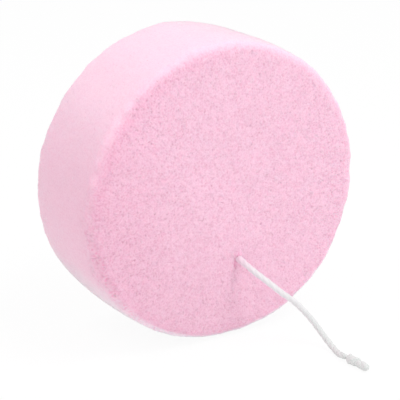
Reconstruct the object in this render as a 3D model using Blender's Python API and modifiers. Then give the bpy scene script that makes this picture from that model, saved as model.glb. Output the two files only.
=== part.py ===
"""Round facial cleansing sponge of soft foam on a knotted cotton cord.

The disc stands upright on its rim, on the plane Z = 0, as if on a table. Its faces lie square to Y: the front
face, where the cord comes out, looks along -Y, and X runs to the right seen from the front. The cord goes through
the foam. In front it droops to the table and ends in a knot, and behind a second knot, drawn into a recess, keeps
it from pulling out. All lengths are in metres.
"""

import math

import bmesh
import bpy
import numpy as np
from mathutils import Vector

# Foam disc
DISC_DIAMETER = 0.080  # at its widest, halfway through the thickness
DISC_THICKNESS = 0.031
SIDE_SWELL = 0.0005  # how far the middle of the side stands out past its two edges
EDGE_ROUND = 0.0028
REST_FLAT_DEPTH = 0.0005  # how much of the rim is pressed flat where the disc stands

# Cord
CORD_DIAMETER = 0.0016
CORD_SIDE = 0.0031  # how far right of the disc's middle the cord comes out
TABLE_CLEARANCE = 0.00005  # under what lies on the table

# Knots, the same at both ends, and the tails past them
KNOT_DIAMETER = 0.0024
KNOT_LENGTH = 0.0047
TAIL_DIAMETER = 0.0021
END_TAIL_LENGTH = 0.0032
ANCHOR_TAIL_LENGTH = 0.0016

# Fit between the pieces
GAP = 0.0003
DIMPLE_LIP = 0.0013  # how far the foam's dimple spreads round the cord's hole
DIMPLE_DEPTH = 0.0010
RECESS_LIP = 0.0018  # how far the rear recess spreads round the knot
RECESS_LIP_DEPTH = 0.0026
TAIL_SINK = 0.0004  # the rear tail stays this far below the face
CUT_OVERRUN = 0.002  # how far a cutter goes past what it cuts

# The free cord's centre line, chosen by hand: right of the hole, out from the face, and height above a cord
# that lies on the table.
CORD_ROUTE = (
    (0.0, 0.0, 0.0208),
    (-0.00005, 0.0012, 0.02075),
    (0.0, 0.0026, 0.02045),
    (0.0004, 0.00415, 0.0198),
    (0.0011, 0.00585, 0.0189),
    (0.00195, 0.00735, 0.0180),
    (0.00375, 0.00955, 0.01615),
    (0.0061, 0.0111, 0.01385),
    (0.0089, 0.0121, 0.01145),
    (0.0114, 0.0131, 0.00865),
    (0.01345, 0.0145, 0.0058),
    (0.0147, 0.0165, 0.00315),
    (0.01535, 0.0193, 0.0010),
    (0.0153, 0.0214, 0.0003),
    (0.01485, 0.0236, 0.0001),
    (0.01455, 0.0257, 0.0003),
    (0.0147, 0.0272, 0.0005),
)

# Fineness of the meshes
DISC_STEPS = 64
SIDE_POINTS = 9
ROUND_SEGMENTS = 3
KNOT_STEPS = 16
KNOT_POINTS = 9
HOLE_STEPS = 24
LIP_POINTS = 5
CORD_RESOLUTION = 2
CORD_SPACING = 2 * CORD_DIAMETER
CURVE_STEPS = 16
MERGE_DISTANCE = GAP / 30

# Worked out from the sizes above
DISC_RADIUS = DISC_DIAMETER / 2
FACE_OFFSET = DISC_THICKNESS / 2
CENTRE_HEIGHT = DISC_RADIUS - REST_FLAT_DEPTH
CORD_RADIUS = CORD_DIAMETER / 2
HOLE_RADIUS = CORD_RADIUS + GAP
HOLE_HEIGHT = CORD_RADIUS + TABLE_CLEARANCE + CORD_ROUTE[0][2]
WELL_RADIUS = max(KNOT_DIAMETER, TAIL_DIAMETER) / 2 + GAP
RECESS_DEPTH = GAP + KNOT_LENGTH + GAP + ANCHOR_TAIL_LENGTH + TAIL_SINK

# Turns a shape made about Z so that its top looks along -Y, out of the front face, or along +Y, out of the back
FRONTWARD = (math.pi / 2, 0, 0)
BACKWARD = (-math.pi / 2, 0, 0)


def collection(name):
    made = bpy.data.collections.new(name)
    bpy.context.scene.collection.children.link(made)
    return made


def material(name, colour, roughness):
    made = bpy.data.materials.new(name)
    made.use_nodes = True
    shader = made.node_tree.nodes["Principled BSDF"]
    shader.inputs["Base Color"].default_value = (*colour, 1)
    shader.inputs["Roughness"].default_value = roughness
    shader.inputs["Metallic"].default_value = 0
    made.diffuse_color = (*colour, 1)
    return made


def add_object(name, data, group, parent=None):
    made = bpy.data.objects.new(name, data)
    group.objects.link(made)
    made.parent = parent
    return made


def turned(name, profile, steps, group, parent=None):
    """A solid turned about Z from (radius, height) points that run down its outer side, from axis to axis."""
    mesh = bpy.data.meshes.new(name)
    shape = bmesh.new()
    points = [shape.verts.new((radius, 0, height)) for radius, height in profile]
    for first, second in zip(points, points[1:]):
        shape.edges.new((first, second))
    shape.to_mesh(mesh)
    shape.free()
    made = add_object(name, mesh, group, parent)
    screw = made.modifiers.new("turn", "SCREW")
    screw.axis = "Z"
    screw.angle = math.tau
    screw.steps = steps
    screw.render_steps = steps
    screw.use_merge_vertices = True
    screw.merge_threshold = MERGE_DISTANCE
    screw.use_smooth_shade = True
    return made


def cut(body, cutter):
    cutter.hide_render = True
    cutter.display_type = "WIRE"
    boolean = body.modifiers.new(cutter.name, "BOOLEAN")
    boolean.operation = "DIFFERENCE"
    boolean.solver = "EXACT"
    boolean.object = cutter


def disc_profile():
    """Down the disc's outer side from its front face: flat faces, and a side that swells in the middle."""
    side = []
    for i in range(SIDE_POINTS):
        share = 1 - 2 * i / (SIDE_POINTS - 1)
        side.append((DISC_RADIUS - SIDE_SWELL * abs(share) ** 3, FACE_OFFSET * share))
    return [(0, FACE_OFFSET), *side, (0, -FACE_OFFSET)]


def lip(throat, spread, depth):
    """(radius, depth) points of foam that curves from its face, tangent to it, down into a hole."""
    points = []
    for i in range(LIP_POINTS):
        angle = math.pi / 2 * i / (LIP_POINTS - 1)
        points.append((throat + spread * (1 - math.sin(angle)), depth * (1 - math.cos(angle))))
    return points


def passage_profile():
    """The cord's way through the foam, from past the front face down to past the back face."""
    dimple = lip(HOLE_RADIUS, DIMPLE_LIP, DIMPLE_DEPTH)
    recess = lip(WELL_RADIUS, RECESS_LIP, RECESS_LIP_DEPTH)
    above = FACE_OFFSET + CUT_OVERRUN
    well_floor = RECESS_DEPTH - FACE_OFFSET
    return [
        (0, above),
        (dimple[0][0], above),
        *((radius, FACE_OFFSET - depth) for radius, depth in dimple),
        (HOLE_RADIUS, well_floor),
        (WELL_RADIUS, well_floor),
        *((radius, depth - FACE_OFFSET) for radius, depth in reversed(recess)),
        (recess[0][0], -above),
        (0, -above),
    ]


def make_foam_disc(group, cutters, parent, foam):
    disc = turned("foam_disc", disc_profile(), DISC_STEPS, group, parent)
    disc.location = (0, 0, CENTRE_HEIGHT)
    disc.rotation_euler = FRONTWARD
    disc.data.materials.append(foam)
    soften = disc.modifiers.new("soft edges", "BEVEL")
    soften.width = EDGE_ROUND
    soften.segments = ROUND_SEGMENTS
    soften.limit_method = "ANGLE"
    soften.angle_limit = math.radians(40)

    passage = turned("cord_passage", passage_profile(), HOLE_STEPS, cutters, parent)
    passage.location = (CORD_SIDE, 0, HOLE_HEIGHT)
    passage.rotation_euler = FRONTWARD
    cut(disc, passage)

    height = REST_FLAT_DEPTH + CUT_OVERRUN
    mesh = bpy.data.meshes.new("table_top")
    shape = bmesh.new()
    bmesh.ops.create_cube(shape, size=1)
    bmesh.ops.scale(shape, vec=(DISC_DIAMETER, DISC_THICKNESS + CUT_OVERRUN, height), verts=shape.verts)
    shape.to_mesh(mesh)
    shape.free()
    table = add_object("table_top", mesh, cutters, parent)
    table.location = (0, 0, -height / 2)
    cut(disc, table)
    return disc


def smooth_curve(points, spacing):
    """Points about spacing apart along a smooth curve through all the given ones."""
    ends = [2 * points[0] - points[1], *points, 2 * points[-1] - points[-2]]
    fine = []
    for before, start, end, after in zip(ends, ends[1:], ends[2:], ends[3:]):
        for i in range(CURVE_STEPS):
            t = i / CURVE_STEPS
            line = 2 * start + (end - before) * t
            square = (2 * before - 5 * start + 4 * end - after) * t**2
            cube = (3 * start - before - 3 * end + after) * t**3
            fine.append((line + square + cube) / 2)
    fine.append(points[-1])
    fine = np.array(fine)
    along = np.concatenate([[0], np.cumsum(np.linalg.norm(np.diff(fine, axis=0), axis=1))])
    stops = np.linspace(0, along[-1], 1 + max(1, round(along[-1] / spacing)))
    return [Vector([np.interp(stop, along, fine[:, k]) for k in range(3)]) for stop in stops]


def cord_tube(name, points, group, parent, cotton):
    curve = bpy.data.curves.new(name, "CURVE")
    curve.dimensions = "3D"
    curve.bevel_depth = CORD_RADIUS
    curve.bevel_resolution = CORD_RESOLUTION
    curve.use_fill_caps = True
    spline = curve.splines.new("POLY")
    spline.points.add(len(points) - 1)
    for point, place in zip(spline.points, points):
        point.co = (*place, 1)
    curve.materials.append(cotton)
    return add_object(name, curve, group, parent)


def route_points():
    """The free cord's centre line, from the middle of its hole in the front face."""
    start_height = CORD_ROUTE[0][2]
    return [Vector((right, -out, height - start_height)) for right, out, height in CORD_ROUTE]


def bead(name, diameter, length, group, parent, cotton):
    """A short barrel with round ends, along Z: a drawn-tight knot, or the soft tail past it."""
    profile = []
    for i in range(KNOT_POINTS):
        angle = math.pi * i / (KNOT_POINTS - 1)
        across = abs(math.sin(angle)) ** 0.6
        along = math.copysign(abs(math.cos(angle)) ** 0.7, math.cos(angle))
        profile.append((diameter / 2 * across, length / 2 * along))
    profile[0] = (0, length / 2)
    profile[-1] = (0, -length / 2)
    made = turned(name, profile, KNOT_STEPS, group, parent)
    made.data.materials.append(cotton)
    return made


def make_free_end(group, parent, cotton):
    """The cord from the front face to the table, and the knot and tail that lie there in line with its end."""
    route = route_points()
    cord_tube("cord_free_run", smooth_curve(route, CORD_SPACING), group, parent, cotton)

    heading = route[-1] - route[-2]
    heading.z = 0
    heading.normalize()
    turn = heading.to_track_quat("Z", "Y").to_euler()
    floor = -HOLE_HEIGHT
    reach = GAP
    for name, diameter, length in (
        ("cord_end_knot", KNOT_DIAMETER, KNOT_LENGTH),
        ("cord_end_tail", TAIL_DIAMETER, END_TAIL_LENGTH),
    ):
        piece = bead(name, diameter, length, group, parent, cotton)
        place = route[-1] + heading * (reach + length / 2)
        place.z = floor + TABLE_CLEARANCE + diameter / 2
        piece.location = place
        piece.rotation_euler = turn
        reach += length + GAP


def make_held_end(group, parent, cotton):
    """The cord inside the foam, and the knot and tail in the rear recess."""
    well_floor = DISC_THICKNESS - RECESS_DEPTH
    run = [Vector((0, GAP, 0)), Vector((0, well_floor, 0))]
    cord_tube("cord_inner_run", run, group, parent, cotton)

    reach = well_floor + GAP
    for name, diameter, length in (
        ("anchor_knot", KNOT_DIAMETER, KNOT_LENGTH),
        ("anchor_tail", TAIL_DIAMETER, ANCHOR_TAIL_LENGTH),
    ):
        piece = bead(name, diameter, length, group, parent, cotton)
        piece.location = (0, reach + length / 2, 0)
        piece.rotation_euler = BACKWARD
        reach += length + GAP


for old in list(bpy.data.objects):
    bpy.data.objects.remove(old, do_unlink=True)

parts = collection("facial_cleansing_sponge")
cutters = collection("cutters")
foam = material("pink foam", (0.89, 0.52, 0.68), 0.9)
cotton = material("white cotton", (0.86, 0.85, 0.84), 0.85)

stand = add_object("sponge_on_table", None, parts)
make_foam_disc(parts, cutters, stand, foam)

# The middle of the cord's hole in the front face, from which the cord's pieces are placed
cord_exit = add_object("cord_exit", None, parts, stand)
cord_exit.location = (CORD_SIDE, -FACE_OFFSET, HOLE_HEIGHT)
make_free_end(parts, cord_exit, cotton)
make_held_end(parts, cord_exit, cotton)
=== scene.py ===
"""Looks of a round facial cleansing sponge on a knotted cotton cord, standing on its rim on a pale table.

The foam is a closed skin of small open cells, made here. The cord is three plies of yarn laid along the
same route as in the part. Lengths are in metres. X runs right seen from the front, -Y out of the front
face, and Z up.
"""

import math

import bmesh
import bpy
import numpy as np
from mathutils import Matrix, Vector


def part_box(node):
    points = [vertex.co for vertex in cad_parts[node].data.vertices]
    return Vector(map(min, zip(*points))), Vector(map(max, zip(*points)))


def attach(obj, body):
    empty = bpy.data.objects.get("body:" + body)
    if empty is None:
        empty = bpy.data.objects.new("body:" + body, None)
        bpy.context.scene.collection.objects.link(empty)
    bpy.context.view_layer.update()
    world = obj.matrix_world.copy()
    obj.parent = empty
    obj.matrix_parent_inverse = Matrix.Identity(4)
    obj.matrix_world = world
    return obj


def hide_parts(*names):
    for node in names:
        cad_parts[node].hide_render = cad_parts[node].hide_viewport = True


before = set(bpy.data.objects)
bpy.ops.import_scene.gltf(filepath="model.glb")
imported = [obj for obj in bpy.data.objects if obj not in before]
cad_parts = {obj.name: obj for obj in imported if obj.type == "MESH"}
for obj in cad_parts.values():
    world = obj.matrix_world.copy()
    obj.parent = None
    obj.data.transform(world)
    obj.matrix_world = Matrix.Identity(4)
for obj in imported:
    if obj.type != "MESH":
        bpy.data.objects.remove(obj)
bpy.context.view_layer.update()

MM = 0.001

# Sizes of the part
DISC_LOW, DISC_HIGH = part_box("foam_disc")
DISC_RADIUS = (DISC_HIGH.x - DISC_LOW.x) / 2
FACE_OFFSET = DISC_HIGH.y
CENTRE_HEIGHT = DISC_HIGH.z - DISC_RADIUS
SIDE_SWELL = 0.5 * MM
EDGE_ROUND = 2.8 * MM
CORD_DIAMETER = 1.6 * MM
EXIT_RIGHT = 3.1 * MM
EXIT_HEIGHT = 21.65 * MM
CORD_EXIT = Vector((EXIT_RIGHT, -FACE_OFFSET, EXIT_HEIGHT))

# The free cord's centre line: right of the hole, out from the face, and height above a cord on the table
CORD_ROUTE = (
    (0.0, 0.0, 0.0208),
    (-0.00005, 0.0012, 0.02075),
    (0.0, 0.0026, 0.02045),
    (0.0004, 0.00415, 0.0198),
    (0.0011, 0.00585, 0.0189),
    (0.00195, 0.00735, 0.0180),
    (0.00375, 0.00955, 0.01615),
    (0.0061, 0.0111, 0.01385),
    (0.0089, 0.0121, 0.01145),
    (0.0114, 0.0131, 0.00865),
    (0.01345, 0.0145, 0.0058),
    (0.0147, 0.0165, 0.00315),
    (0.01535, 0.0193, 0.0010),
    (0.0153, 0.0214, 0.0003),
    (0.01485, 0.0236, 0.0001),
    (0.01455, 0.0257, 0.0003),
    (0.0147, 0.0272, 0.0005),
)

# Camera, from the disc's outline in the photograph
CAMERA_PLACE = Vector((-180.76, -298.74, 154.02)) * MM
CAMERA_TARGET = Vector((-8.65, -15.5, 39.84)) * MM
CAMERA_LENS = 126.2
CAMERA_SENSOR = 36


def make_camera():
    data = bpy.data.cameras.new("camera")
    data.lens = CAMERA_LENS
    data.sensor_width = CAMERA_SENSOR
    data.sensor_fit = "HORIZONTAL"
    data.clip_start = 0.01
    camera = bpy.data.objects.new("camera", data)
    bpy.context.scene.collection.objects.link(camera)
    camera.location = CAMERA_PLACE
    camera.rotation_euler = (CAMERA_TARGET - CAMERA_PLACE).to_track_quat("-Z", "Y").to_euler()
    bpy.context.scene.camera = camera


make_camera()


def eased(value, low, high):
    """How far the value is from low to high, from 0 to 1 with soft ends."""
    share = np.clip((value - low) / (high - low), 0, 1)
    return share * share * (3 - 2 * share)


# Cord

CURVE_STEPS = 16  # between two points of the route


def smooth_curve(points, spacing):
    """Points about spacing apart along a smooth curve through all the given ones."""
    ends = [2 * points[0] - points[1], *points, 2 * points[-1] - points[-2]]
    fine = []
    for before, start, end, after in zip(ends, ends[1:], ends[2:], ends[3:]):
        for i in range(CURVE_STEPS):
            t = i / CURVE_STEPS
            line = 2 * start + (end - before) * t
            square = (2 * before - 5 * start + 4 * end - after) * t**2
            cube = (3 * start - before - 3 * end + after) * t**3
            fine.append((line + square + cube) / 2)
    fine.append(points[-1])
    fine = np.array(fine)
    return respaced(fine, 1 + max(1, round(line_length(fine) / spacing)))


def run_along(points):
    """The distance along a line at each of its points."""
    return np.concatenate([[0], np.cumsum(np.linalg.norm(np.diff(points, axis=0), axis=1))])


def line_length(points):
    return float(run_along(points)[-1])


def respaced(points, count):
    """The same line with the given number of points, evenly apart."""
    along = run_along(points)
    stops = np.linspace(0, along[-1], count)
    return np.stack([np.interp(stops, along, points[:, k]) for k in range(3)], axis=1)


LEAST_ACROSS = 0.1  # below it the line starts nearly upright, and takes another first direction


def frames_along(points):
    """Two sideways directions at each point, that turn no more than the line does."""
    tangents = np.gradient(points, axis=0)
    tangents /= np.linalg.norm(tangents, axis=1)[:, None]
    across = np.cross(tangents[0], (0.0, 0.0, 1.0))
    if np.linalg.norm(across) < LEAST_ACROSS:
        across = np.cross(tangents[0], (1.0, 0.0, 0.0))
    firsts = []
    for tangent in tangents:
        across = across - tangent * (across @ tangent)
        across /= np.linalg.norm(across)
        firsts.append(across)
    firsts = np.array(firsts)
    return firsts, np.cross(tangents, firsts)


PLIES = 3
PLY_RADIUS = 0.61 * MM
PLY_OFFSET = 0.19 * MM
LAY_LENGTH = 6.4 * MM
YARN_RIDGES = 6
YARN_RIDGE_SHARE = 0.02
YARN_RIDGE_STEP = 0.6  # how far along the cord one ridge takes the next one's place, as a share of the lay
YARN_SIDES = 24
YARN_ANGLES = math.tau * np.arange(YARN_SIDES) / YARN_SIDES
YARN_STEP = 0.22 * MM


def ply_directions(firsts, seconds, turns):
    """The way from the line to a ply's middle at each point, from the two sideways directions there."""
    return firsts * np.cos(turns)[:, None] + seconds * np.sin(turns)[:, None]


def tube_spokes(firsts, seconds):
    """The directions from the line to each side of a tube round it."""
    across = np.cos(YARN_ANGLES)[None, :, None]
    up = np.sin(YARN_ANGLES)[None, :, None]
    return firsts[:, None] * across + seconds[:, None] * up


def ply_rings(line, ply, size, fullness=1.0):
    """Rings of points for one ply wound round the line, with the low ridges of its yarns wound more slowly.

    size is the cord's thickness at each point, or all along, as a share of its usual one. fullness thickens
    the plies into one another, as where they are pressed together.
    """
    size = np.broadcast_to(size, len(line))
    firsts, seconds = frames_along(line)
    along = run_along(line)
    turns = math.tau * (along / LAY_LENGTH + ply / PLIES)
    middles = line + ply_directions(firsts, seconds, turns) * (PLY_OFFSET * size)[:, None]
    ridge_turns = math.tau * along / (YARN_RIDGE_STEP * LAY_LENGTH)
    phase = YARN_RIDGES * YARN_ANGLES[None, :] - ridge_turns[:, None]
    radii = PLY_RADIUS * (fullness * size)[:, None] * (1 + YARN_RIDGE_SHARE * np.cos(phase))
    return middles[:, None] + tube_spokes(firsts, seconds) * radii[..., None]


def round_rings(line, radii, ridge_share=0.0):
    """Rings of points round a line, with straight ridges along it."""
    ridged = 1 + ridge_share * np.cos(YARN_RIDGES * YARN_ANGLES)
    spokes = tube_spokes(*frames_along(line))
    return line[:, None] + spokes * (radii[:, None] * ridged[None, :])[..., None]


def tube_mesh(name, all_rings):
    """One mesh of closed tubes, each from a list of rings of points, with its flat layout for baking."""
    points, polygons, layout = [], [], []
    for number, rings in enumerate(all_rings):
        count, sides = len(rings), len(rings[0])
        start = len(points)
        points.extend(rings.reshape(-1, 3).tolist())

        def spot(i, k):
            return i / (count - 1), (number + k / sides) / len(all_rings)

        for i in range(count - 1):
            for k in range(sides):
                a, b = start + i * sides + k, start + i * sides + (k + 1) % sides
                polygons.append((a, b, b + sides, a + sides))
                layout.extend([spot(i, k), spot(i, k + 1), spot(i + 1, k + 1), spot(i + 1, k)])
        last = start + (count - 1) * sides
        for ring, order in ((start, range(sides - 1, -1, -1)), (last, range(sides))):
            polygons.append(tuple(ring + k for k in order))
            layout.extend(spot(0 if ring == start else count - 1, k) for k in order)
    mesh = bpy.data.meshes.new(name)
    mesh.from_pydata(points, [], polygons)
    mesh.uv_layers.new(name="OFBake").data.foreach_set("uv", np.array(layout, np.float32).ravel())
    mesh.shade_smooth()
    return mesh


def new_object(name, mesh, material):
    made = bpy.data.objects.new(name, mesh)
    bpy.context.scene.collection.objects.link(made)
    mesh.materials.append(material)
    return made


def cord_piece(name, all_rings, node, material):
    piece = new_object(name, tube_mesh(name, all_rings), material)
    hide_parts(node)
    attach(piece, "root")
    return piece


# Both knots are one double overhand knot, worked out by pulling a loose one tight. As far as the end of
# pulled_tight its lengths are in thicknesses of the strand, and the cord runs along the first axis.
KNOT_HALF_TURNS = 5
KNOT_POINTS = 110
KNOT_ROUNDS = 700
KNOT_ROUNDS_TO_RESPACE = 10
KNOT_BEND_LENGTH = 1.5  # stretches less than this apart along the strand don't push each other
KNOT_SMOOTHING = 0.5
KNOT_PUSHES = 3
KNOT_PUSH_SHARE = 0.2
KNOT_HALF_BODY = 2  # half of the length that is centred on the cord's axis
LOOSE_HALF_LENGTH = 4.0
LOOSE_RADIUS = 0.9
LOOSE_LOOP = 2.2
LOOSE_REACH = 12.0
LOOSE_LEAD = 0.6  # a second point of each end, as a share of its reach
LOOSE_STRAND_POINTS = 40
LOOSE_LOOP_POINTS = 30
TINY = 1e-9  # keeps a length from being 0


def loose_knot():
    """Two strands twisted round each other, with a loop from the first's end back to the second's start."""
    share = np.linspace(0, 1, LOOSE_STRAND_POINTS)
    along = LOOSE_HALF_LENGTH * (2 * share - 1)
    angle = math.pi * KNOT_HALF_TURNS * share
    across, up = LOOSE_RADIUS * np.cos(angle), LOOSE_RADIUS * np.sin(angle)
    bend = np.pi * np.linspace(0, 1, LOOSE_LOOP_POINTS)[1:-1]
    loop = np.stack(
        [
            LOOSE_HALF_LENGTH * np.cos(bend) + LOOSE_RADIUS * np.sin(2 * bend),
            -LOOSE_RADIUS - LOOSE_LOOP * np.sin(bend),
            np.zeros(len(bend)),
        ],
        axis=1,
    )
    lead = np.array([(-LOOSE_REACH, 0, 0), (-LOOSE_LEAD * LOOSE_REACH, 0, 0)])
    first = np.stack([along, across, up], axis=1)
    second = np.stack([along, -across, -up], axis=1)
    return np.vstack([lead, first, loop, second, -lead[::-1]])


def pulled_tight(line):
    """The knot after its ends have been pulled, with no two stretches nearer than a strand's thickness."""
    index = np.arange(KNOT_POINTS)
    for step in range(KNOT_ROUNDS):
        if step % KNOT_ROUNDS_TO_RESPACE == 0:
            line = respaced(line, KNOT_POINTS)
            near = math.ceil(KNOT_BEND_LENGTH / (line_length(line) / (KNOT_POINTS - 1)))
            apart = np.abs(index[:, None] - index[None, :]) >= max(2, near)
        line[1:-1] += KNOT_SMOOTHING * ((line[:-2] + line[2:]) / 2 - line[1:-1])
        for _ in range(KNOT_PUSHES):
            gaps = line[:, None] - line[None]
            lengths = np.linalg.norm(gaps, axis=2) + TINY
            overlap = np.where(apart & (lengths < 1), 1 - lengths, 0)
            push = (gaps * (overlap / lengths)[..., None]).sum(1)
            push[[0, -1]] = 0
            line += KNOT_PUSH_SHARE * push
    inside = np.abs(line[:, 0]) < KNOT_HALF_BODY
    offset = (line[inside].max(0) + line[inside].min(0)) / 2
    offset[0] = 0
    return line - offset * (1 - np.abs(line[:, :1]) / LOOSE_REACH)


KNOT_STRAND = 0.80 * MM  # the cord's thickness where the knot squeezes it
KNOT_LENGTH = 4.7 * MM
KNOT_FULLNESS = 1.38
KNOT_STEPS = 260
KNOT_CORE_RADIUS = 1.12 * MM  # a plain core fills what the turns leave open
KNOT_CORE_HALF_LENGTH = 1.9 * MM
KNOT_CORE_STEPS = 21
KNOT_CORE_BLUNTNESS = 0.02  # keeps the core's ends from being points
TUCK = 0.8 * MM  # how far the cord goes on past its end in the part, and the tail starts inside the knot


def knot_rings(line, start, heading, side):
    """Rings for the knot's plies, where start is its near end and heading and side are its directions."""
    along, across = Vector(heading), Vector(side)
    basis = np.array([along, across, along.cross(across)])
    middle = np.array(start) + np.array(along) * KNOT_LENGTH / 2
    reach = (KNOT_LENGTH - TUCK) / 2 / KNOT_STRAND
    first = np.argmax(line[:, 0] > -reach)
    last = len(line) - np.argmax(line[::-1, 0] < reach)
    placed = middle + respaced(line[first:last], KNOT_STEPS) * KNOT_STRAND @ basis
    tight = KNOT_STRAND / CORD_DIAMETER
    rings = [ply_rings(placed, ply, tight, KNOT_FULLNESS) for ply in range(PLIES)]
    share = np.linspace(-1, 1, KNOT_CORE_STEPS)
    core = middle + basis[0] * (KNOT_CORE_HALF_LENGTH * share)[:, None]
    radii = KNOT_CORE_RADIUS * np.sqrt(1 + KNOT_CORE_BLUNTNESS - share**4)
    return rings + [round_rings(core, radii)]


TAIL_PLY_RADIUS = 0.78 * MM
TAIL_PLY_OFFSET = 0.28 * MM
TAIL_SWELLING = (0.1, 0.5)  # where along the tail its plies swell, as shares of its length
TAIL_RADIUS_SHARES = (0.9, 0.1)  # of the radius: at the knot, and what it gains by swelling
TAIL_OFFSET_SHARES = (0.75, 0.25)  # of the offset, in the same way
TAIL_SHORTEST_PLY = 0.86
TAIL_TURN = 0.2  # how far a ply may lie round from its even place, in radians
TAIL_TIP_LENGTH = 1.2 * MM
TAIL_TIP_END = 0.98  # how far the rounding of the tip goes
TAIL_TIP_POWER = 2.4
TAIL_TIP_CLOSING = 0.4  # how much nearer each other the plies are at the tip
TAIL_STEPS = 30


def tail_rings(start, heading, length, seed):
    """Rings for the cut end of the cord, whose plies come loose from the knot and swell to round tips."""
    random = np.random.default_rng(seed)
    rings = []
    share = np.linspace(0, 1, TAIL_STEPS)
    for ply in range(PLIES):
        reach = random.uniform(TAIL_SHORTEST_PLY, 1.0)
        line = np.array(start) + np.array(heading) * (share * length * reach)[:, None]
        firsts, seconds = frames_along(line)
        swell = eased(share, *TAIL_SWELLING)
        turns = math.tau * (share * length / LAY_LENGTH + ply / PLIES)
        turns = turns + random.uniform(-TAIL_TURN, TAIL_TURN)
        tip = np.clip(1 - (1 - share) * reach * length / TAIL_TIP_LENGTH, 0, TAIL_TIP_END)
        offset = TAIL_PLY_OFFSET * (TAIL_OFFSET_SHARES[0] + TAIL_OFFSET_SHARES[1] * swell)
        offset = offset * (1 - TAIL_TIP_CLOSING * tip)
        line = line + ply_directions(firsts, seconds, turns) * offset[:, None]
        radii = TAIL_PLY_RADIUS * (TAIL_RADIUS_SHARES[0] + TAIL_RADIUS_SHARES[1] * swell)
        radii = radii * np.sqrt(1 - tip**TAIL_TIP_POWER)
        rings.append(round_rings(line, radii, YARN_RIDGE_SHARE))
    return rings


GAP = 0.3 * MM  # between the stretches of cord in the part
END_KNOT_HEIGHT = 1.25 * MM
END_TAIL_HEIGHT = 1.20 * MM
END_TAIL_LENGTH = 4.5 * MM
END_TAIL_SEED = 3
ANCHOR_KNOT_Y = 8.5 * MM
ANCHOR_TAIL_Y = 13.2 * MM
ANCHOR_TAIL_LENGTH = 2.5 * MM
ANCHOR_TAIL_SEED = 5
ANCHOR_KNOT_START = Vector((EXIT_RIGHT, ANCHOR_KNOT_Y, EXIT_HEIGHT))
ANCHOR_TAIL_START = Vector((EXIT_RIGHT, ANCHOR_TAIL_Y - TUCK, EXIT_HEIGHT))

# Where the cord leaves the foam it is slack and thicker by this share, less and less over this length
EXIT_SPREAD = 0.22
EXIT_SPREAD_REACH = 4.0 * MM

# Towards its end in the knot the free cord gets thinner by this share, over this length
END_THINNING = 0.5
END_THINNING_REACH = 1.4 * TUCK


def make_cord(cotton):
    start_height = CORD_ROUTE[0][2]
    route = [CORD_EXIT + Vector((right, -out, height - start_height)) for right, out, height in CORD_ROUTE]
    end = route[-1]
    heading = end - route[-2]
    line = smooth_curve([*route, end + heading.normalized() * TUCK], YARN_STEP)
    along = run_along(line)
    size = 1 + EXIT_SPREAD * (1 - eased(along, 0, EXIT_SPREAD_REACH))
    size *= 1 - END_THINNING * eased(along, along[-1] - END_THINNING_REACH, along[-1])
    rings = [ply_rings(line, ply, size) for ply in range(PLIES)]
    cord = cord_piece("cord", rings, "cord_free_run", cotton)

    knot = pulled_tight(loose_knot())
    heading.z = 0
    heading.normalize()
    knot_start = end + heading * GAP
    knot_start.z = END_KNOT_HEIGHT
    tail_start = knot_start + heading * (KNOT_LENGTH - TUCK)
    tail_start.z = END_TAIL_HEIGHT
    rings = knot_rings(knot, knot_start, heading, (-heading.y, heading.x, 0))
    end_knot = cord_piece("end_knot", rings, "cord_end_knot", cotton)
    rings = tail_rings(tail_start, heading, END_TAIL_LENGTH, END_TAIL_SEED)
    end_tail = cord_piece("end_tail", rings, "cord_end_tail", cotton)

    rings = knot_rings(knot, ANCHOR_KNOT_START, (0, 1, 0), (0, 0, 1))
    cord_piece("stopper_knot", rings, "anchor_knot", cotton)
    rings = tail_rings(ANCHOR_TAIL_START, (0, 1, 0), ANCHOR_TAIL_LENGTH, ANCHOR_TAIL_SEED)
    cord_piece("stopper_tail", rings, "anchor_tail", cotton)

    back = ANCHOR_KNOT_START.y - CORD_EXIT.y + TUCK
    ends = np.array([CORD_EXIT, CORD_EXIT + Vector((0, back, 0))])
    inside = respaced(ends, 1 + round(back / YARN_STEP))
    rings = [ply_rings(inside, ply, 1.0) for ply in range(PLIES)]
    cord_piece("inner_cord", rings, "cord_inner_run", cotton)


# Materials

MIX_INPUTS = (0, 6, 7)  # a colour mix's share and its two colours
MIX_RESULT = 2


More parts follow.
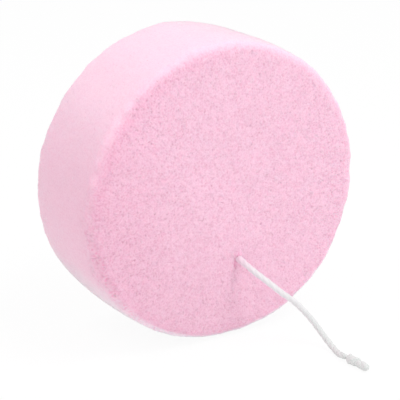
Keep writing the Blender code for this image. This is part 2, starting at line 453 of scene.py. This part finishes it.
class Nodes:
    """A short way to write a material's node tree."""

    def __init__(self, name):
        self.material = bpy.data.materials.new(name)
        self.material.use_nodes = True
        self.tree = self.material.node_tree
        self.shader = self.tree.nodes["Principled BSDF"]

    def add(self, kind, settings=None, **inputs):
        node = self.tree.nodes.new(kind)
        for key, value in (settings or {}).items():
            setattr(node, key, value)
        for key, value in inputs.items():
            self.put(node, key.replace("_", " "), value)
        return node

    def put(self, node, key, value):
        socket = node.inputs[key]
        if isinstance(value, bpy.types.NodeSocket):
            self.tree.links.new(value, socket)
        else:
            socket.default_value = value

    def place(self):
        return self.add("ShaderNodeTexCoord").outputs["Object"]

    def parts(self, vector):
        return self.add("ShaderNodeSeparateXYZ", Vector=vector).outputs

    def maths(self, operation, first, second=0.0, clamp=False):
        node = self.add("ShaderNodeMath", {"operation": operation, "use_clamp": clamp})
        self.put(node, 0, first)
        self.put(node, 1, second)
        return node.outputs[0]

    def spread(self, value, low, high, to_low=0.0, to_high=1.0):
        node = self.add("ShaderNodeMapRange", {"clamp": True}, Value=value)
        for key, number in (("From Min", low), ("From Max", high), ("To Min", to_low), ("To Max", to_high)):
            node.inputs[key].default_value = number
        return node.outputs[0]

    def noise(self, vector, size, detail=2.0, roughness=0.5):
        values = {"Scale": 1 / size, "Detail": detail, "Roughness": roughness}
        return self.add("ShaderNodeTexNoise", Vector=vector, **values).outputs["Fac"]

    def cells(self, vector, size):
        return self.add("ShaderNodeTexVoronoi", Vector=vector, Scale=1 / size).outputs["Distance"]

    def attribute(self, name):
        return self.add("ShaderNodeAttribute", {"attribute_name": name}).outputs["Fac"]

    def mix(self, share, first, second):
        node = self.add("ShaderNodeMix", {"data_type": "RGBA", "clamp_factor": True})
        for socket, value in zip(MIX_INPUTS, (share, first, second)):
            if isinstance(value, tuple):
                value = (*value, 1)
            self.put(node, socket, value)
        return node.outputs[MIX_RESULT]

    def bump(self, height, distance, strength):
        node = self.add("ShaderNodeBump", Height=height, Distance=distance, Strength=strength)
        return node.outputs["Normal"]


# Foam colours, as linear red, green and blue. Each pore colour is darker than its ridge one: painted shade in
# the pits.
FACE_RIDGE = (0.975, 0.645, 0.78)
FACE_PORE = (0.87, 0.47, 0.63)
# The deep colours carry painted light and painted shade, and the deeper pink of a few torn cells
DEEP_RIDGE = (0.96, 0.45, 0.64)
DEEP_PORE = (0.90, 0.33, 0.53)
SIDE_RIDGE = (0.985, 0.635, 0.77)
SIDE_PORE = (0.93, 0.54, 0.69)
SIDE_PAINTED_LIGHT = (1.0, 0.92, 0.985)

# The side is painted paler near the table, as painted light bounced from the white table, and much less near
# its top, as painted light from the lamp above. All the foam is painted a little darker towards its lower
# left, as painted shade, between these two distances from its middle.
TABLE_BOUNCE_PAINT_SHARE = 0.9
TABLE_BOUNCE_PAINT_HEIGHTS = (5 * MM, 24 * MM)
TOP_LIGHT_PAINT_SHARE = 0.12
TOP_LIGHT_PAINT_HEIGHTS = (50 * MM, 68 * MM)
LOWER_LEFT_PAINTED_SHADE = 0.93
LOWER_LEFT_SHADE_REACH = (5 * MM, 30 * MM)

# The foam's shade runs from ridge to pore, and its darker pore end is painted shade in the pits. It adds up
# the depth in the modelled cells, finer cells that only the material has, and wear in broad patches.
PORE_WEIGHT = 0.65
FINE_CELL = 0.36 * MM
FINE_RANGE = (0.15, 0.75)
FINE_WEIGHT = 0.45
WEAR_LENGTH = 5 * MM
WEAR_DETAIL = 3.0
WEAR_MIDDLE = 0.65
WEAR_WEIGHT = 0.25
FOAM_ROUGHNESS = (0.86, 0.98)
FOAM_RELIEF = 0.06 * MM
FOAM_RELIEF_STRENGTH = 0.5
SIDE_RELIEF_SHARE = 0.35
FOAM_GLOW_REACH = (1.6 * MM, 0.9 * MM, 1.1 * MM)  # how far red, green and blue light spread in the foam


def foam_material():
    n = Nodes("pink foam")
    place = n.place()
    pore = n.attribute("pore")
    side = n.attribute("side")
    deep = n.attribute("deep")
    fine = n.spread(n.cells(place, FINE_CELL), *FINE_RANGE)
    worn = n.noise(place, WEAR_LENGTH, WEAR_DETAIL)
    shade = n.maths("ADD", n.maths("MULTIPLY", pore, PORE_WEIGHT), n.maths("MULTIPLY", fine, FINE_WEIGHT))
    wear = n.maths("MULTIPLY", n.maths("SUBTRACT", worn, WEAR_MIDDLE), WEAR_WEIGHT)
    shade = n.maths("ADD", shade, wear, clamp=True)
    face_colour = n.mix(shade, FACE_RIDGE, FACE_PORE)
    deep_colour = n.mix(shade, DEEP_RIDGE, DEEP_PORE)
    side_colour = n.mix(shade, SIDE_RIDGE, SIDE_PORE)
    right, _, height = n.parts(place)
    # Painted light: the side is paler near the table, from the white table below, and a little near its top,
    # from the lamp above
    side_colour = n.mix(n.spread(height, *TABLE_BOUNCE_PAINT_HEIGHTS, TABLE_BOUNCE_PAINT_SHARE, 0.0), side_colour, SIDE_PAINTED_LIGHT)
    side_colour = n.mix(n.spread(height, *TOP_LIGHT_PAINT_HEIGHTS, 0.0, TOP_LIGHT_PAINT_SHARE), side_colour, SIDE_PAINTED_LIGHT)
    colour = n.mix(side, face_colour, side_colour)
    # The deeper pink is painted light and painted shade, and in a few torn cells the foam's own deeper pink
    colour = n.mix(deep, colour, deep_colour)
    # Painted shade: all the foam's colour is scaled darker towards its lower left
    diagonal = math.sqrt(0.5)
    upper_right = n.maths("MULTIPLY", n.maths("ADD", right, height), diagonal)
    lower_left = n.maths("SUBTRACT", CENTRE_HEIGHT * diagonal, upper_right)
    painted_shade = n.add("ShaderNodeVectorMath", {"operation": "SCALE"}, Vector=colour)
    n.put(painted_shade, "Scale", n.spread(lower_left, *LOWER_LEFT_SHADE_REACH, 1.0, LOWER_LEFT_PAINTED_SHADE))
    n.put(n.shader, "Base Color", painted_shade.outputs[0])
    n.put(n.shader, "Roughness", n.spread(shade, 0.0, 1.0, *FOAM_ROUGHNESS))
    n.shader.inputs["Specular IOR Level"].default_value = 0.15
    n.shader.inputs["Sheen Weight"].default_value = 0.8
    n.shader.inputs["Sheen Roughness"].default_value = 0.3
    relief = n.maths("MULTIPLY", fine, n.spread(side, 0.0, 1.0, 1.0, SIDE_RELIEF_SHARE))
    n.put(n.shader, "Normal", n.bump(relief, FOAM_RELIEF, FOAM_RELIEF_STRENGTH))
    n.shader.inputs["Subsurface Weight"].default_value = 0.35
    n.shader.inputs["Subsurface Radius"].default_value = FOAM_GLOW_REACH
    n.shader.inputs["Subsurface Scale"].default_value = 1.0
    return n.material


COTTON_LIGHT = (0.81, 0.79, 0.81)
COTTON_DARK = (0.77, 0.75, 0.77)
COTTON_PAINTED_SHADE = (0.695, 0.725, 0.71)
COTTON_PINK_BOUNCE = (0.90, 0.66, 0.78)
PAINTED_SHADE_HEIGHTS = (2 * MM, 18 * MM)  # painted shade: the cord is a little greyer towards the table
PINK_BOUNCE_REACH = (1.0 * MM, 6.5 * MM)  # painted pink light, bounced from the foam on and around the cord near its exit
PINK_BOUNCE_SHARE = 0.7
LINT_LENGTH = 0.35 * MM
LINT_DETAIL = 4.0
LINT_ROUGHNESS = 0.7
LINT_WEIGHT = 0.6
DULL_LENGTH = 3 * MM
DULL_WEIGHT = 0.4
COTTON_RANGE = (0.3, 0.6)  # of the shade, from the dark white to the light one
COTTON_ROUGHNESS = (0.8, 0.95)
LINT_RANGE = (0.3, 0.7)
LINT_RELIEF = 0.04 * MM
LINT_RELIEF_STRENGTH = 0.4


def cotton_material():
    n = Nodes("white cotton")
    place = n.place()
    lint = n.noise(place, LINT_LENGTH, LINT_DETAIL, LINT_ROUGHNESS)
    dull = n.noise(place, DULL_LENGTH)
    shade = n.maths("ADD", n.maths("MULTIPLY", lint, LINT_WEIGHT), n.maths("MULTIPLY", dull, DULL_WEIGHT))
    white = n.mix(n.spread(shade, *COTTON_RANGE), COTTON_DARK, COTTON_LIGHT)
    # Painted shade: the cord is greyer towards the table
    white = n.mix(n.spread(n.parts(place)[2], *PAINTED_SHADE_HEIGHTS, 1.0, 0.0), white, COTTON_PAINTED_SHADE)
    # Painted pink light bounced from the foam, strongest near the exit
    from_exit = n.add("ShaderNodeVectorMath", {"operation": "DISTANCE"})
    n.put(from_exit, 0, place)
    n.put(from_exit, 1, CORD_EXIT)
    pink_bounce = n.spread(from_exit.outputs["Value"], *PINK_BOUNCE_REACH, PINK_BOUNCE_SHARE, 0.0)
    n.put(n.shader, "Base Color", n.mix(pink_bounce, white, COTTON_PINK_BOUNCE))
    n.put(n.shader, "Roughness", n.spread(lint, *LINT_RANGE, *COTTON_ROUGHNESS))
    n.shader.inputs["Specular IOR Level"].default_value = 0.2
    n.shader.inputs["Sheen Weight"].default_value = 0.08
    n.shader.inputs["Sheen Roughness"].default_value = 0.4
    n.put(n.shader, "Normal", n.bump(lint, LINT_RELIEF, LINT_RELIEF_STRENGTH))
    return n.material


# Foam

SEED = 7
FRONT, BACK, SIDE = 0, 1, 2
CELLS_ACROSS = 92  # of the grid that fills the flat middle of the front face, and of the back one's
CELL_ROW = 0.8 * MM
CELL_JITTER_SHARE = 0.36
FACE_CELL_DEPTH = 0.20 * MM
SIDE_CELL_DEPTH = 0.08 * MM
RAGGED_CELL_DEPTH = 0.18 * MM
RAGGED_DEEPEST = 0.9  # how much deeper the pink of a few torn cells is
RAGGED_DEEP_POWER = 8  # the larger, the fewer they are
RAGGED_SPREAD = 0.7 * MM  # how much further in the side's paler skin comes between torn cells
RAGGED_PIT_SIDE_LOSS = 0.4  # how much less a torn cell's pit looks like the side, and its ridge
RAGGED_RIDGE_SIDE_LOSS = 0.1
RAGGED_LIFT = 0.10 * MM
RIDGE_LIFT = 0.02 * MM
SIDE_SMOOTHNESS = 0.6  # how much less the ridges rise and fall on the side
OPENNESS = (0.35, 1.45)  # how deep the single cells are, as shares of their depth
OPENNESS_SHOWN = 1.2  # beyond it a pit's painted shade gets no darker
BROKEN_SHARE = 0.12  # the share of the ridges that have a gap in them
BROKEN_TORN_SHARE = 0.2  # how many more do where the foam is torn
BROKEN_DEPTHS = (0.3, 0.8)  # as shares of the cell's depth
# A broken ridge's share of the pore colour: painted shade in its gap
BROKEN_SHADE = 0.45
SWAY = 0.10 * MM  # how far the whole skin rises and sinks in broad waves
SWAY_LENGTH = 16 * MM
SWAY_WAVES = 14
WOBBLE = 0.22 * MM  # how far the soft edges wander in and out along the cut
WOBBLE_LENGTH = 4.5 * MM
WOBBLE_WAVES = 24
EDGE_STEPS = 24
SIDE_STEPS = 96
SWELL_POWER = 3  # the side is flattest in its middle and falls off faster towards the edges


def side_profile():
    """(radius, y) points from the front's flat middle over its edge, the side and the back edge."""
    edge_radius = DISC_RADIUS - SIDE_SWELL
    half = FACE_OFFSET - EDGE_ROUND
    fine = []
    for i in range(EDGE_STEPS):
        angle = math.pi / 2 * i / EDGE_STEPS
        radius = edge_radius - EDGE_ROUND * (1 - math.sin(angle))
        fine.append((radius, -half - EDGE_ROUND * math.cos(angle)))
    for i in range(SIDE_STEPS + 1):
        share = -1 + 2 * i / SIDE_STEPS
        fine.append((DISC_RADIUS - SIDE_SWELL * abs(share) ** SWELL_POWER, half * share))
    fine += [(radius, -y) for radius, y in reversed(fine[:EDGE_STEPS])]
    fine = np.array(fine)
    along = np.concatenate([[0], np.cumsum(np.hypot(*np.diff(fine, axis=0).T))])
    rows = round(along[-1] / CELL_ROW)
    stops = np.linspace(0, along[-1], rows + 1)
    return np.stack([np.interp(stops, along, fine[:, k]) for k in range(2)], axis=1)


# How far the disc is out of round: how often it swells in a turn, by how much, and one angle of a swelling
EDGE_WAVES = (
    (2, 0.26 * MM, 0),
    (3, 0.20 * MM, -40),
    (4, 0.10 * MM, 31),
    (5, 0.07 * MM, 23),
)


def out_of_round(points):
    """The points moved in or out with these waves, most at the edge and not at all in the middle."""
    angle = np.arctan2(points[:, 2], points[:, 0])
    swell = sum(size * np.cos(count * (angle - math.radians(turn))) for count, size, turn in EDGE_WAVES)
    grown = 1 + swell * np.hypot(points[:, 0], points[:, 2]) / DISC_RADIUS**2
    return points * np.stack([grown, np.ones(len(points)), grown], axis=1)


def disc_share(u, v):
    """A square grid's (u, v), each from -1 to 1, spread evenly over a disc of radius 1."""
    if u == 0 and v == 0:
        return 0.0, 0.0
    if abs(u) > abs(v):
        radius, angle = u, math.pi / 4 * v / u
    else:
        radius, angle = v, math.pi / 2 - math.pi / 4 * u / v
    return radius * math.cos(angle), radius * math.sin(angle)


def skin_points():
    """The smooth skin with its middle at the origin: its points, four-cornered faces and each point's part.

    The parts are FRONT and BACK for the flat faces, and SIDE for the side with its soft edges.
    """
    profile = side_profile()
    n = CELLS_ACROSS
    points, faces = [], []

    def face_grid(radius, y):
        start = len(points)
        for j in range(n + 1):
            for i in range(n + 1):
                x, z = disc_share(2 * i / n - 1, 2 * j / n - 1)
                points.append((radius * x, y, radius * z))
        return start

    def grid_rim(start):
        """The grid's border, anticlockwise seen from the front."""
        low = [start + i for i in range(n)]
        right = [start + j * (n + 1) + n for j in range(n)]
        high = [start + n * (n + 1) + n - i for i in range(n)]
        left = [start + (n - j) * (n + 1) for j in range(n)]
        return low + right + high + left

    front = face_grid(*profile[0])
    back = face_grid(*profile[-1])
    parts = [FRONT] * back + [BACK] * back
    for j in range(n):
        for i in range(n):
            a, b = front + j * (n + 1) + i, back + j * (n + 1) + i
            faces.append((a, a + 1, a + n + 2, a + n + 1))
            faces.append((b, b + n + 1, b + n + 2, b + 1))
    rim = grid_rim(front)
    shares = [(points[k][0] / profile[0][0], points[k][2] / profile[0][0]) for k in rim]
    loops = [rim]
    for radius, y in profile[1:-1]:
        loops.append(range(len(points), len(points) + len(rim)))
        points.extend((radius * x, y, radius * z) for x, z in shares)
    loops.append(grid_rim(back))
    parts += [SIDE] * (len(points) - len(parts))
    for first, second in zip(loops, loops[1:]):
        for k in range(len(rim)):
            after = (k + 1) % len(rim)
            faces.append((first[k], second[k], second[after], first[after]))
    return np.array(points), faces, parts


def turn_in_degrees(points):
    """Each place's angle round the disc, from 0 at its right, over 90 at its top, to 360."""
    return np.degrees(np.arctan2(points[:, 2], points[:, 0])) % 360


# The side's paler skin comes in over its edges: where it ends and where it is whole, in millimetres in from
# the side. At the lower left, between these angles in degrees, the cut is clean and it comes in less far.
SKIN_END, SKIN_WHOLE = 1.9, 0.4
CLEAN_END_LOSS, CLEAN_WHOLE_LOSS = 0.4, 0.1
CLEAN_FROM, CLEAN_TO = (222, 240), (255, 280)


def side_share(points, ragged=0.0):
    """How far a place belongs to the disc's side: 0 on the flat faces, 1 on the side past the soft edge."""
    radius = np.hypot(points[:, 0], points[:, 2])
    border = DISC_RADIUS - SIDE_SWELL - RAGGED_SPREAD * ragged
    turn = turn_in_degrees(points)
    clean = eased(turn, *CLEAN_FROM) * (1 - eased(turn, *CLEAN_TO))
    end = border - (SKIN_END - CLEAN_END_LOSS * clean) * MM
    whole = border - (SKIN_WHOLE - CLEAN_WHOLE_LOSS * clean) * MM
    return eased(radius, end, whole)


# Where the front's pink is deeper: a line inside its edge at the upper left is painted light, shining through
# the foam there; its left is painted shade; and the slit and the brow at the exit are painted shade.
EDGE_LIGHT_LINE_INSET = 3.3 * MM
EDGE_LIGHT_LINE_WIDTH = 1.5 * MM
EDGE_LIGHT_LINE_SHARE = 0.14
LEFT_PAINTED_SHADE_SHARE = 0.16
LEFT_PAINTED_SHADE_REACH = (12 * MM, 32 * MM)
SLIT_PAINTED_SHADE_SHARE = 0.6
BROW_PAINTED_SHADE_SHARE = 0.5


def deep_share(points):
    """How much deeper the pink is at each place: painted light at the edge, and painted shade on the left and
    at the exit.
    """
    radius = np.hypot(points[:, 0], points[:, 2])
    border = DISC_RADIUS - SIDE_SWELL - EDGE_LIGHT_LINE_INSET
    upper_left = (points[:, 2] > 0) * (points[:, 0] < 0)
    edge = EDGE_LIGHT_LINE_SHARE * np.exp(-(((radius - border) / EDGE_LIGHT_LINE_WIDTH) ** 2)) * upper_left
    left = LEFT_PAINTED_SHADE_SHARE * eased(-points[:, 0], *LEFT_PAINTED_SHADE_REACH)
    on_front = (1 - side_share(points)) * (points[:, 1] < 0)
    exit_share = SLIT_PAINTED_SHADE_SHARE * slit_share(points)
    return on_front * (edge + left) + exit_share + BROW_PAINTED_SHADE_SHARE * brow_share(points)


WAVE_LENGTHS = (0.75, 1.35)  # as shares of the length asked for
WAVE_PEAK = 1.6  # the sum's usual peak, as a multiple of its spread


def waves(points, length, count, random):
    """Smooth noise from about -1 to about 1, as a sum of plane waves of about the given length."""
    total = np.zeros(len(points))
    for _ in range(count):
        direction = random.normal(size=3)
        direction *= math.tau / (length * random.uniform(*WAVE_LENGTHS) * np.linalg.norm(direction))
        total += np.sin(points @ direction + random.uniform(0, math.tau))
    return total / math.sqrt(count / 2) / WAVE_PEAK


EDGE_NEAR = 2.0 * MM


def edge_nearness(points):
    """How near a place is to one of the disc's two edges: 1 at their sharp corner, before it is rounded."""
    radius = np.hypot(points[:, 0], points[:, 2])
    behind = np.abs(points[:, 1]) - FACE_OFFSET
    border = np.hypot(radius - (DISC_RADIUS - SIDE_SWELL), behind)
    return np.exp(-((border / EDGE_NEAR) ** 2))


# The torn band lies behind the front edge's left and lower left. It starts at a radius, fades out between two
# depths behind the face, and breaks up in waves that add to a least strength. It ends where the cut gets
# clean, and the edge itself is torn a little further round. Patches are torn all round both edges. Angles are
# in degrees.
TORN_RADII = (38.2 * MM, 39.2 * MM)
TORN_DEPTHS = (2.5 * MM, 6.0 * MM)
TORN_LEAST, TORN_MORE = 0.25, 0.75
TORN_LENGTH = 3.5 * MM
TORN_WAVES = 24
TORN_RANGE = (-0.3, 0.7)
TORN_BAND_TO = (208, 236)
TORN_FROM, TORN_TO = (160, 190), (236, 258)
PATCH_LENGTH = 14 * MM
PATCH_WAVES = 16
PATCH_RANGE = (0.2, 1.0)
PATCH_SHARE = 0.6


def raggedness(points, random):
    """How torn the cells are: most at the front edge's left and lower left, and in patches all round."""
    radius = np.hypot(points[:, 0], points[:, 2])
    near = edge_nearness(points)
    band = eased(radius, *TORN_RADII) * (1 - eased(points[:, 1] + FACE_OFFSET, *TORN_DEPTHS))
    band *= TORN_LEAST + TORN_MORE * eased(waves(points, TORN_LENGTH, TORN_WAVES, random), *TORN_RANGE)
    turn = turn_in_degrees(points)
    band *= 1 - eased(turn, *TORN_BAND_TO)
    lower_left = eased(turn, *TORN_FROM) * (1 - eased(turn, *TORN_TO))
    patches = eased(waves(points, PATCH_LENGTH, PATCH_WAVES, random), *PATCH_RANGE)
    torn = lower_left * np.maximum(band, near * (points[:, 1] < 0))
    return np.clip(torn + PATCH_SHARE * near * patches, 0, 1)


# Round the cord the cells are drawn together. In front the foam stands up a little there, and at the back it
# sinks in round the knot.
EXIT_PLACE = np.array([CORD_EXIT.x, CORD_EXIT.z - CENTRE_HEIGHT])
FRONT_PINCH = {"reach": 9 * MM, "crowding": 1.35, "depth": -0.2 * MM, "width": 1.1 * MM}
BACK_PINCH = {"reach": 12 * MM, "crowding": 1.45, "depth": 5.0 * MM, "width": 2.4 * MM}


# The slit that the cord was drawn through, beside and below it: its middle from the exit, half its size and
# its depth
SLIT_MIDDLE = (-1.0 * MM, -1.3 * MM)
SLIT_HALF_SIZE = (0.45 * MM, 1.5 * MM)
SLIT_DEPTH = 0.35 * MM


def slit_share(points):
    across = (points[:, 0] - EXIT_PLACE[0] - SLIT_MIDDLE[0]) / SLIT_HALF_SIZE[0]
    up = (points[:, 2] - EXIT_PLACE[1] - SLIT_MIDDLE[1]) / SLIT_HALF_SIZE[1]
    return np.exp(-(across**2) - up**2) * (points[:, 1] < 0)


# The foam's brow over the cord: how far above the exit, how wide and how high it is
BROW_RISE = 1.1 * MM
BROW_WIDTH = 0.9 * MM
BROW_HEIGHT = 0.5 * MM


def brow_share(points):
    far = np.hypot(points[:, 0] - EXIT_PLACE[0], points[:, 2] - EXIT_PLACE[1] - BROW_RISE)
    return np.exp(-((far / BROW_WIDTH) ** 2)) * (points[:, 1] < 0)


def pinch(points, facing, reach, crowding, depth, width):
    """Draws the points of one face in towards the cord, and sinks them by the depth there or lifts them."""
    on_face = points[:, 1] * facing > FACE_OFFSET - EDGE_ROUND
    off = points[:, (0, 2)] - EXIT_PLACE
    far = np.hypot(*off.T)
    near = on_face & (far < reach) & (far > 0)
    off[near] *= ((far[near] / reach) ** (crowding - 1))[:, None]
    points[near, 0] = EXIT_PLACE[0] + off[near, 0]
    points[near, 2] = EXIT_PLACE[1] + off[near, 1]
    far = np.hypot(*off.T)
    sunk = depth * np.exp(-((far / width) ** 2))
    points[on_face, 1] -= facing * sunk[on_face]


# The flat layout's sheet, in millimetres: its size, the first disc's middle from the left and from the foot,
# and how far right of it the second one is. Then the length of each half strip, its inset from the left, the
# lower one's middle, and how far above it the other one is.
SHEET = 166
SHEET_DISC = 41.5
SHEET_DISC_STEP = 83
SHEET_STRIP = 125.6
SHEET_STRIP_INSET = 1.5
SHEET_STRIP_MIDDLE = 101.5
SHEET_STRIP_STEP = 36


def laid_flat(points, part):
    """The flat layout for baking: each face as a disc, and the side as two halves of a strip."""
    sheet = SHEET * MM
    x, y, z = points.T
    if part != SIDE:
        middle = (SHEET_DISC + SHEET_DISC_STEP * part) * MM
        return np.stack([(x + middle) / sheet, (z + SHEET_DISC * MM) / sheet], axis=1)
    turn = np.arctan2(z, x) / math.pi
    if np.ptp(turn) > 1:
        turn = np.where(turn < 0, turn + 2, turn)
    upper = 0 < turn.mean() <= 1
    start = 0 if upper else (-1 if turn.mean() < 0 else 1)
    across = (turn - start) * SHEET_STRIP * MM + SHEET_STRIP_INSET * MM
    up = y + (SHEET_STRIP_MIDDLE + SHEET_STRIP_STEP * upper) * MM
    return np.stack([across / sheet, up / sheet], axis=1)


def foam_cells():
    """The disc's skin as open cells: each has ridges round it, shared with its neighbours, and a pit."""
    random = np.random.default_rng(SEED)
    wobble_random = np.random.default_rng(SEED + 1)
    points, faces, parts = skin_points()
    skin = bmesh.new()
    verts = [skin.verts.new(p) for p in points]
    for face in faces:
        skin.faces.new([verts[k] for k in face])
    skin.normal_update()

    normals = np.array([v.normal for v in verts])
    step = CELL_ROW * CELL_JITTER_SHARE * random.uniform(-1, 1, points.shape)
    step -= normals * (step * normals).sum(1)[:, None]
    points = points + step
    sway = SWAY * waves(points, SWAY_LENGTH, SWAY_WAVES, random)
    points += normals * sway[:, None]
    wobble = WOBBLE * edge_nearness(points) * waves(points, WOBBLE_LENGTH, WOBBLE_WAVES, wobble_random)
    points += normals * wobble[:, None]
    pinch(points, -1, **FRONT_PINCH)
    pinch(points, 1, **BACK_PINCH)
    points[:, 1] += SLIT_DEPTH * slit_share(points) - BROW_HEIGHT * brow_share(points)
    for v, place in zip(verts, points):
        v.co = place
    bmesh.ops.triangulate(skin, faces=skin.faces, quad_method="SHORT_EDGE")
    bmesh.ops.beautify_fill(skin, faces=skin.faces, edges=skin.edges, method="ANGLE")
    skin.normal_update()
    skin.verts.index_update()
    skin.faces.index_update()

    corners = np.array([[v.index for v in f.verts] for f in skin.faces])
    ridges = points[corners].mean(1)
    ridge_normals = np.array([f.normal for f in skin.faces])
    pit_normals = np.array([v.normal for v in skin.verts])

    ragged = raggedness(np.vstack([ridges, points]), random)
    ridge_ragged, pit_ragged = ragged[: len(ridges)], ragged[len(ridges) :]
    pit_side = side_share(points, pit_ragged) * (1 - RAGGED_PIT_SIDE_LOSS * pit_ragged)
    ridge_side = side_share(ridges, ridge_ragged) * (1 - RAGGED_RIDGE_SIDE_LOSS * ridge_ragged)
    depth = FACE_CELL_DEPTH + (SIDE_CELL_DEPTH - FACE_CELL_DEPTH) * pit_side
    depth += (RAGGED_CELL_DEPTH - depth) * pit_ragged
    openness = random.uniform(*OPENNESS, len(points))
    pits = points - pit_normals * (depth * openness)[:, None]
    ridge_depth = FACE_CELL_DEPTH + (SIDE_CELL_DEPTH - FACE_CELL_DEPTH) * ridge_side
    lift = RIDGE_LIFT * random.normal(0, 1, len(ridges)) * (1 - SIDE_SMOOTHNESS * ridge_side)
    broken = random.uniform(0, 1, len(ridges)) < BROKEN_SHARE + BROKEN_TORN_SHARE * ridge_ragged
    lift -= ridge_depth * broken * random.uniform(*BROKEN_DEPTHS, len(ridges))
    lift += RAGGED_LIFT * ridge_ragged * random.normal(0, 1, len(ridges))
    ridges = ridges + ridge_normals * lift[:, None]

    out = out_of_round(np.vstack([ridges, pits]))
    out[:, 2] = np.maximum(out[:, 2] + CENTRE_HEIGHT, 0.0)
    ridge_shade = np.where(broken, BROKEN_SHADE, 0.0)
    pore = np.concatenate([ridge_shade, np.clip(openness, 0, OPENNESS_SHOWN) / OPENNESS_SHOWN])
    side = np.concatenate([ridge_side, pit_side])
    # The deeper pink: painted light and shade from deep_share, and the own deeper pink of a few torn cells
    deepest = RAGGED_DEEPEST * ragged * random.uniform(0, 1, len(ragged)) ** RAGGED_DEEP_POWER
    deep = np.clip(deep_share(np.vstack([ridges, points])) + deepest, 0, 1)
    polygons, layout = [], []
    for v in skin.verts:
        loop = v.link_loops[0]
        ring = []
        for _ in range(len(v.link_loops)):
            ring.append(loop.face.index)
            loop = loop.link_loop_prev.link_loop_radial_next
        pit = len(ridges) + v.index
        flat = laid_flat(np.vstack([ridges[ring], points[v.index]]), parts[v.index])
        for k in range(len(ring)):
            after = (k + 1) % len(ring)
            polygons.append((ring[k], ring[after], pit))
            layout.extend((flat[k], flat[after], flat[-1]))
    skin.free()

    mesh = bpy.data.meshes.new("foam")
    mesh.from_pydata(out.tolist(), [], polygons)
    mesh.uv_layers.new(name="OFBake").data.foreach_set("uv", np.array(layout, np.float32).ravel())
    for name, values in (("pore", pore), ("side", side), ("deep", deep)):
        mesh.attributes.new(name, "FLOAT", "POINT").data.foreach_set("value", values.astype(np.float32))
    mesh.shade_smooth()
    return mesh


def make_foam():
    foam = new_object("foam", foam_cells(), foam_material())
    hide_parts("foam_disc")
    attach(foam, "root")


# Table and light

TABLE_SIZE = 8
TABLE_DROP = 0.02 * MM  # below the foam, so that the two don't share a surface
TABLE_COLOUR = (0.96, 0.96, 0.96, 1)
TABLE_WHITE_SHARE = 0.93  # how much of what is seen of the table is plain white, which takes no shadow


def background_seen(tree):
    """A socket that is 1 for rays from the camera, by gloss or through glass, and 0 for all others."""
    paths = tree.nodes.new("ShaderNodeLightPath")
    seen = paths.outputs["Is Camera Ray"]
    for kind in ("Is Glossy Ray", "Is Transmission Ray"):
        either = tree.nodes.new("ShaderNodeMath")
        either.operation = "MAXIMUM"
        tree.links.new(seen, either.inputs[0])
        tree.links.new(paths.outputs[kind], either.inputs[1])
        seen = either.outputs[0]
    return seen


def make_table():
    bpy.ops.mesh.primitive_plane_add(size=TABLE_SIZE, location=(0, 0, -TABLE_DROP))
    table = bpy.context.object
    table.name = "table"
    n = Nodes("white table")
    n.shader.inputs["Base Color"].default_value = TABLE_COLOUR
    n.shader.inputs["Roughness"].default_value = 0.9
    n.shader.inputs["Specular IOR Level"].default_value = 0.0
    white = n.add("ShaderNodeEmission", Color=(1, 1, 1, 1), Strength=1.0)
    blend = n.add("ShaderNodeMixShader")
    n.put(blend, 0, n.maths("MULTIPLY", background_seen(n.tree), TABLE_WHITE_SHARE))
    n.put(blend, 1, n.shader.outputs[0])
    n.put(blend, 2, white.outputs[0])
    n.put(n.tree.nodes["Material Output"], "Surface", blend.outputs[0])
    table.data.materials.append(n.material)


WORLD_LEVEL = 0.765
KEY = {"power": 1.38, "size": 0.3, "place": (0.15, -0.26, 0.55)}
LEFT_FILL = {"power": 0.42, "size": 0.3, "place": (-0.27, 0.06, 0.57)}


def make_lamp(name, power, size, place):
    data = bpy.data.lights.new(name, "AREA")
    data.shape = "DISK"
    data.size = size
    data.energy = power
    lamp = bpy.data.objects.new(name, data)
    bpy.context.scene.collection.objects.link(lamp)
    lamp.location = place
    aim = Vector((0, 0, CENTRE_HEIGHT)) - Vector(place)
    lamp.rotation_euler = aim.to_track_quat("-Z", "Y").to_euler()


def make_light():
    make_lamp("key", **KEY)
    make_lamp("left_fill", **LEFT_FILL)

    world = bpy.data.worlds.new("studio")
    bpy.context.scene.world = world
    world.use_nodes = True
    tree = world.node_tree
    background = tree.nodes["Background"]
    strength = tree.nodes.new("ShaderNodeMapRange")
    strength.inputs["To Min"].default_value = WORLD_LEVEL
    strength.inputs["To Max"].default_value = 1.0
    tree.links.new(background_seen(tree), strength.inputs["Value"])
    tree.links.new(strength.outputs[0], background.inputs["Strength"])
    background.inputs["Color"].default_value = (1, 1, 1, 1)


make_cord(cotton_material())
make_foam()
make_table()
make_light()
bpy.context.scene.view_settings.view_transform = "Standard"
